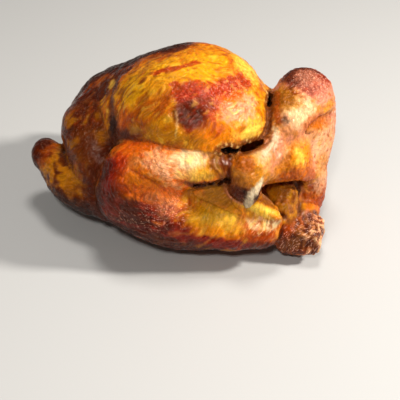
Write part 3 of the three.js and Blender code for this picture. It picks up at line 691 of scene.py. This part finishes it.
# raised leg
rear = raised * ramp(outward[:, 1] - 0.4 * outward[:, 0], 0, 0.5)
paint(ROSE, 0.9 * raised)
paint(TAN, 0.5 * raised * ramp(mottle + lumps, 0, 0.5))
paint(GOLD, 0.5 * raised * ramp(mottle + 0.5 * lumps, 0.1, 0.5) * ramp(x, 70, 80))
paint(AMBER, 0.85 * rear)
paint(GOLD, 0.8 * rear * ramp(bands + 0.5 * lumps, 0, 0.4))
paint(RUST, 0.7 * rear * ramp(heat + 0.5 * stripes, 0, 0.5))
RAISED_SPOTS = [
    (TAN, 0.8, (56, 8, 98), (10, 14, 14), "mottled"),
    (PEACH, 0.95, (71, 18, 102), (11, 14, 12), "mottled"),
    (PEACH, 0.7, (67, 27, 109), (9, 9, 6), "speckled"),
    # painted highlight: cream on top of the calf
    (CREAM, 0.55, (71, 20, 103), (10, 12, 9), "speckled"),
    (OCHRE, 0.95, (58, 21, 107), (10, 9, 8), "mottled"),
    (OCHRE, 1.0, (51, 20, 103), (7, 11, 12), "streaky"),
    (CRIMSON, 0.8, (66, 46, 112), (18, 17, 9), "speckled"),
    (MAHOGANY, 0.95, (54, 46, 115), (17, 16, 9), "mottled"),
    (ROSE, 0.6, (64, 44, 112), (10, 10, 6), "speckled"),
    (ROSE, 0.7, (78, 44, 102), (7, 12, 14), "speckled"),
    (GOLD, 0.7, (80, 42, 96), (6, 10, 4), "mottled"),
    (AMBER, 0.9, (79, 31, 88), (8, 12, 8), "soft"),
    (RUST, 0.6, (79, 27, 92), (6, 7, 4), "soft"),
    (CREAM, 0.5, (82, 34, 71), (8, 10, 12), "speckled"),
    (CREAM, 0.4, (86, 28, 57), (6, 7, 9), "speckled"),
    (PEACH, 0.7, (86, 40, 68), (10, 12, 14), "speckled"),
    (PEACH, 0.6, (79, 20, 85), (5, 8, 7), "mottled"),
    (MARIGOLD, 0.95, (78, 6, 72), (10, 13, 13), "soft"),
    (BUTTER, 0.95, (80, 5, 76), (7, 6, 8), "mottled"),
    (MARIGOLD, 0.8, (83, 12, 80), (6, 6, 6), "mottled"),
    (AMBER, 0.95, (76, -1, 66), (15, 14, 8), "mottled"),
    (OCHRE, 0.5, (72, -8, 70), (10, 9, 7), "mottled"),
    (RUST, 0.9, (84, 24, 34), (9, 12, 14), "mottled"),
    (AMBER, 0.7, (83, 21, 34), (5, 8, 9), "mottled"),
    (RUST, 0.9, (84, 26, 24), (11, 12, 10), "speckled"),
    (TAN, 0.6, (86, 30, 57), (8, 10, 8), "mottled"),
    (RUST, 0.5, (84, 12, 60), (5, 6, 10), "speckled"),
    (PEACH, 0.8, (87, 27, 47), (6, 8, 9), "speckled"),
    (RUST, 0.5, (76, -4, 67), (8, 8, 4), "mottled"),
    (OCHRE, 0.95, (58, -28, 79), (17, 14, 15), "mottled"),
    (ROSE, 0.4, (56, -31, 82), (6, 6, 6), "speckled"),
    (TAN, 0.8, (58, -34, 76), (10, 8, 10), "speckled"),
    (GOLD, 0.6, (65, -20, 80), (8, 8, 8), "mottled"),
    (BROWN, 0.8, (56, -37, 70), (10, 9, 8), "mottled"),
    (MAHOGANY, 0.9, (57, -38, 65), (9, 7, 7), "speckled"),
    (TAN, 0.8, (62, -37, 76), (5, 5, 3), "speckled"),
    (AMBER, 0.8, (57, -30, 86), (9, 6, 5), "mottled"),
    (BROWN, 0.4, (58, -30, 85), (7, 5, 5), "speckled"),
    (BROWN, 0.4, (59, 20, 107), (6, 6, 6), "mottled"),
    (BONE, 0.6, (64, -17, 86), (7, 7, 4), "speckled"),
    (PEACH, 0.5, (68, -18, 81), (5, 6, 5), "speckled"),
]
paint_spots(raised, RAISED_SPOTS)
paint(RUST, 0.55 * raised * ramp(specks, 0.35, 0.6) * ramp(x, 70, 80))
paint(RUST, 0.6 * raised * stroke([(50, 26, 106), (56, 15, 103), (61, 7, 98)], 2.2, rag=0.8, kind="mottled"))
# painted shade under the calf's overhanging fold
paint(RUST, 0.6 * stroke([(80, 32, 95), (79, 27, 96), (78, 22, 96), (76, 17, 94)], 3, soft=0.8, rag=0.3))
for tendon in TENDONS:
    strands = noise(drawn(base, np.subtract(tendon[0][:3], tendon[-1][:3]), 5), 2.2, 34)
    paint(BONE, 0.85 * on(limb(base, tendon), 0.4, 1.0) * ramp(strands, -0.35, 0.15))
gristle = on(limb(base, SHANK_GRISTLE), 0.5, 1.5) * ramp(75 + 3 * mottle - z, 0, 5)
paint(MAHOGANY, 0.9 * gristle)
paint(CHAR, 0.7 * gristle * ramp(mottle, -0.1, 0.3))
BARE_BONE = [(70, -26, 73), (69, -31, 71), (67, -36, 68), (65, -38, 60)]
paint(BONE, 0.95 * stroke(BARE_BONE, 3.2, rag=0.4, kind="speckled"))
paint(PLUM, 0.5 * spot((65, 9, 100), (2.5, 2.5, 4), kind="speckled"))
# painted shadow where the folded shank passes behind the knob
paint(BROWN, 0.8 * stroke(KNOB_EDGE, 2.2, rag=0.5, kind="speckled"))
paint(MAHOGANY, 0.8 * stroke(KNOB_EDGE, 1.1, rag=0.3, kind="speckled"))
paint(BROWN, 0.6 * spot((72, -18, 56), (6, 6, 5), kind="mottled"))

# cavity, gaps and tail
paint(OCHRE, 0.95 * inside)
paint(OLIVE, 0.6 * flesh)
paint(BROWN, 0.8 * np.maximum(inside, flesh) * ramp(mottle, -0.2, 0.2))
paint(TAN, 0.35 * flesh * ramp(specks + mottle, 0.2, 0.6))
paint(OCHRE, 0.6 * spot((65, 1, 49), (7, 7, 6), kind="speckled") * np.maximum(inside, flesh))
paint(BROWN, 0.95 * tail)
paint(RUST, 0.5 * tail * ramp(lumps + 0.5 * mottle, -0.1, 0.3))
paint(AMBER, 0.6 * tail * spot((82, -5, 33), (8, 9, 5), kind="mottled"))
paint(MAHOGANY, 0.8 * tail * ramp(-ridged, 0, 0.4))
# painted glints: peach and cream on the ridges at the tail's right
paint(PEACH, 0.95 * tail * ramp(ridged, 0.0, 0.3) * ramp(x + 6 * lumps, 84, 97))
paint(CREAM, 0.5 * tail * ramp(ridged + 0.5 * specks, 0.2, 0.5) * ramp(x + 6 * lumps, 90, 99))
# painted shade in the hollows and folds of the skin
paint(BROWN, 0.55 * crease_shade)
paint(RUST, 0.8 * spot((79, -11, 28), (5, 5, 5), kind="mottled"))
paint(PLUM, 0.6 * ramp(crease_shade, 0.5, 1.0))
lip = on(from_gaps, 1.8, 2.5) * (1 - buried)
paint(BROWN, 0.9 * lip * ramp(-specks, -0.6, 0.0))
paint(CREAM, 0.7 * lip * breast * ramp(specks, 0.15, 0.45))
# painted shade: near-black deep inside the gaps, with brown mottling
paint(CHAR, 0.95 * buried)
paint(BROWN, 0.8 * buried * ramp(mottle + specks, -0.1, 0.3))
paint(TAN, 0.9 * spot((37, 20, 63), (9, 9, 12), kind="mottled") * np.maximum(inside, buried))
paint(TAN, 0.7 * buried * ramp(x + 4 * mottle, 50, 54))

# painted highlights: pale glints of fat are added into the colour in these patches
PAINTED_GLINT_PATCHES = [  # strength, centre and radii of the patches with fat on them
    (0.7, (14, -58, 84), (14, 10, 10)),
    (0.9, (20, -62, 52), (24, 14, 12)),
    (0.6, (0, -73, 44), (24, 14, 10)),
    (0.9, (72, -26, 40), (10, 8, 6)),
    (0.8, (66, 44, 112), (16, 16, 10)),
    (0.5, (84, 38, 80), (10, 16, 34)),
    (0.4, (71, 18, 102), (10, 12, 10)),
    (0.6, (36, -10, 116), (16, 22, 10)),
]
painted_glint_strength = np.maximum(0.12, 0.9 * tail)
for strength, centre, radii in PAINTED_GLINT_PATCHES:
    painted_glint_strength = np.maximum(painted_glint_strength, strength * spot(centre, radii, soft=0.6, kind="soft"))

# ---------------------------------------------------------------------------------------------------------------
# Mesh and material
# ---------------------------------------------------------------------------------------------------------------

linear = np.where(skin <= 10, skin / 255 / 12.92, ((skin / 255 + 0.055) / 1.055) ** 2.4)  # sRGB to linear

mesh = bpy.data.meshes.new("roast_chicken_skin")
mesh.vertices.add(len(points))
mesh.vertices.foreach_set("co", (points * MM).astype(np.float32).ravel())
mesh.loops.add(quads.size)
mesh.loops.foreach_set("vertex_index", quads.astype(np.int32).ravel())
mesh.polygons.add(len(quads))
mesh.polygons.foreach_set("loop_start", np.arange(0, quads.size, 4, dtype=np.int32))
mesh.polygons.foreach_set("use_smooth", np.ones(len(quads), bool))
mesh.update(calc_edges=True)
for name, kind, key, values in (
    ("Browning_And_Painted_Light", "FLOAT_COLOR", "color", np.concatenate([linear, np.ones((len(linear), 1))], 1)),
    ("Crackle", "FLOAT", "value", np.clip(crackled, 0, 1.2)),
    ("Painted_Glint", "FLOAT", "value", painted_glint_strength),
    ("Flow", "FLOAT_VECTOR", "vector", flow),
):
    mesh.attributes.new(name, kind, "POINT").data.foreach_set(key, values.astype(np.float32).ravel())
mesh.validate()
bird_skin = bpy.data.objects.new("bird_skin", mesh)
bpy.context.scene.collection.objects.link(bird_skin)

material = bpy.data.materials.new("roast_skin")
material.use_nodes = True
tree = material.node_tree
bsdf = tree.nodes["Principled BSDF"]


def node(kind, links=(), **values):
    """A shader node with links into its inputs, and values for its settings and inputs."""
    made = tree.nodes.new(kind)
    for name, value in values.items():
        if hasattr(made, name):
            setattr(made, name, value)
        else:
            made.inputs[name.replace("_", " ")].default_value = value
    for name, source in links:
        tree.links.new(source, made.inputs[name])
    return made


def attribute(name, output="Fac"):
    return node("ShaderNodeAttribute", attribute_name=name).outputs[output]


def noise_texture(where, output="Fac", **values):
    return node("ShaderNodeTexNoise", [("Vector", where)], **values).outputs[output]


def spread(value, low, high, to_low, to_high):
    """The value's range from low to high, spread over another range."""
    limits = dict(From_Min=low, From_Max=high, To_Min=to_low, To_Max=to_high)
    return node("ShaderNodeMapRange", [("Value", value)], **limits).outputs["Result"]


def times(colour, factor):
    """A colour times a number."""
    return node("ShaderNodeVectorMath", [(0, colour), ("Scale", factor)], operation="SCALE").outputs["Vector"]


def plus(a, b):
    """The sum of two colours or places."""
    return node("ShaderNodeVectorMath", [(0, a), (1, b)], operation="ADD").outputs["Vector"]


place = node("ShaderNodeTexCoord").outputs["Object"]
grain_place = attribute("Flow", "Vector")
crackle = attribute("Crackle")
grain = noise_texture(grain_place, Scale=0.55, Detail=3.0, Roughness=0.55)
crests = noise_texture(grain_place, Scale=1.0, Detail=2.0, Roughness=0.7)
pores = noise_texture(place, Scale=800.0, Detail=2.0, Roughness=0.6)
patches = noise_texture(place, Scale=90.0, Detail=3.0)
wander = noise_texture(place, "Color", Scale=260.0, Detail=1.0)
aside = node("ShaderNodeVectorMath", [(0, wander)], operation="SCALE", Scale=0.003).outputs["Vector"]
shifted = [("Vector", plus(place, aside))]
cells = node("ShaderNodeTexVoronoi", shifted, feature="DISTANCE_TO_EDGE", Scale=360.0).outputs["Distance"]

# colour: the browning with its painted shade, darker between the grain, in the crackle's veins and in the pores,
# with pale glints of fat painted in as highlights
shade = spread(grain, 0.3, 0.7, 0.73, 1.23)
veined = node("ShaderNodeMath", [(0, spread(cells, 0, 0.3, -0.35, 0.2)), (1, crackle)], operation="MULTIPLY_ADD")
veined.inputs[2].default_value = 1.0
spotted = spread(pores, 0.35, 0.65, 0.9, 1.1)
browned = times(times(times(attribute("Browning_And_Painted_Light", "Color"), shade), veined.outputs["Value"]), spotted)
painted_glint_links = [(0, spread(crests, 0.56, 0.66, 0, 1)), (1, attribute("Painted_Glint"))]
painted_glint = node("ShaderNodeMath", painted_glint_links, operation="MULTIPLY").outputs["Value"]
pale = node("ShaderNodeVectorMath", [("Scale", painted_glint)], operation="SCALE")
pale.inputs[0].default_value = (0.55, 0.3, 0.2)
tree.links.new(plus(browned, pale.outputs["Vector"]), bsdf.inputs["Base Color"])
tree.links.new(spread(patches, 0.35, 0.65, 0.16, 0.34), bsdf.inputs["Roughness"])

# bump: pores, then the crackle's net, then the grain
fine = node("ShaderNodeBump", [("Height", pores)], Strength=0.4, Distance=0.0003).outputs["Normal"]
net_links = [("Height", spread(cells, 0, 0.3, 0, 1)), ("Strength", spread(crackle, 0, 1, 0, 0.6)), ("Normal", fine)]
netted = node("ShaderNodeBump", net_links, Distance=0.0006).outputs["Normal"]
grained = node("ShaderNodeBump", [("Height", grain), ("Normal", netted)], Strength=0.8, Distance=0.0011)
for socket in ("Normal", "Coat Normal"):
    tree.links.new(grained.outputs["Normal"], bsdf.inputs[socket])

EVEN_SETTINGS = {  # the same all over the skin
    "Subsurface Weight": 0.12,
    "Subsurface Radius": (1.0, 0.45, 0.15),
    "Subsurface Scale": 0.003,
    "Specular IOR Level": 0.12,
    "Specular Tint": (1.0, 0.7, 0.45, 1),
    "Coat Weight": 0.16,
    "Coat Roughness": 0.1,
}
for name, value in EVEN_SETTINGS.items():
    bsdf.inputs[name].default_value = value
mesh.materials.append(material)

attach(bird_skin, "root")
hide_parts("roast_chicken")

# ---------------------------------------------------------------------------------------------------------------
# Floor, light, camera
# ---------------------------------------------------------------------------------------------------------------

FLOOR_HALF = 1.6
FLOOR_CORNERS = [(FLOOR_HALF * i, FLOOR_HALF * j, 0) for i, j in ((-1, -1), (1, -1), (1, 1), (-1, 1))]
FLOOR_COLOUR, FLOOR_ROUGHNESS = (0.5, 0.497, 0.488, 1), 0.6
WORLD_COLOUR, WORLD_STRENGTH = (1.0, 0.96, 0.9, 1), 0.12
LIGHTS_AIM = (0, 0, 0.05)
LIGHTS = [  # name, place, size, watts and colour
    ("key", (0.8, 0.35, 0.75), 0.15, 16, (1, 0.96, 0.9)),
    ("top", (0.0, 0.1, 1.2), 0.3, 7, (1, 0.97, 0.93)),
    ("fill", (0.4, -0.85, 1.0), 0.15, 7.5, (1, 0.97, 0.93)),
]
CAMERA_PLACE, CAMERA_AIM = (0.3132, -0.5012, 0.4617), (0, 0, 0)
CAMERA_LENS, CAMERA_SHIFT = 93.15, (0.02, 0.04)


def put(thing, place, aim):
    """Puts a lamp or camera at a place, looking at the aim."""
    thing.location = place
    thing.rotation_mode = "QUATERNION"
    thing.rotation_quaternion = (Vector(aim) - Vector(place)).to_track_quat("-Z", "Y")
    bpy.context.scene.collection.objects.link(thing)


floor_mesh = bpy.data.meshes.new("floor")
floor_mesh.from_pydata(FLOOR_CORNERS, [], [(0, 1, 2, 3)])
floor = bpy.data.objects.new("floor", floor_mesh)
bpy.context.scene.collection.objects.link(floor)
floor_material = bpy.data.materials.new("floor")
floor_material.use_nodes = True
floor_bsdf = floor_material.node_tree.nodes["Principled BSDF"]
floor_bsdf.inputs["Base Color"].default_value = FLOOR_COLOUR
floor_bsdf.inputs["Roughness"].default_value = FLOOR_ROUGHNESS
floor_mesh.materials.append(floor_material)

world = bpy.data.worlds.new("studio")
bpy.context.scene.world = world
world.use_nodes = True
background = world.node_tree.nodes["Background"]
background.inputs["Color"].default_value = WORLD_COLOUR
background.inputs["Strength"].default_value = WORLD_STRENGTH

for name, place, size, watts, colour in LIGHTS:
    data = bpy.data.lights.new(name, "AREA")
    data.shape, data.size, data.energy, data.color = "DISK", size, watts, colour
    put(bpy.data.objects.new(name, data), place, LIGHTS_AIM)

camera_data = bpy.data.cameras.new("camera")
camera_data.lens = CAMERA_LENS
camera_data.shift_x, camera_data.shift_y = CAMERA_SHIFT
camera = bpy.data.objects.new("camera", camera_data)
put(camera, CAMERA_PLACE, CAMERA_AIM)
bpy.context.scene.camera = camera
bpy.context.scene.view_settings.view_transform = "Standard"
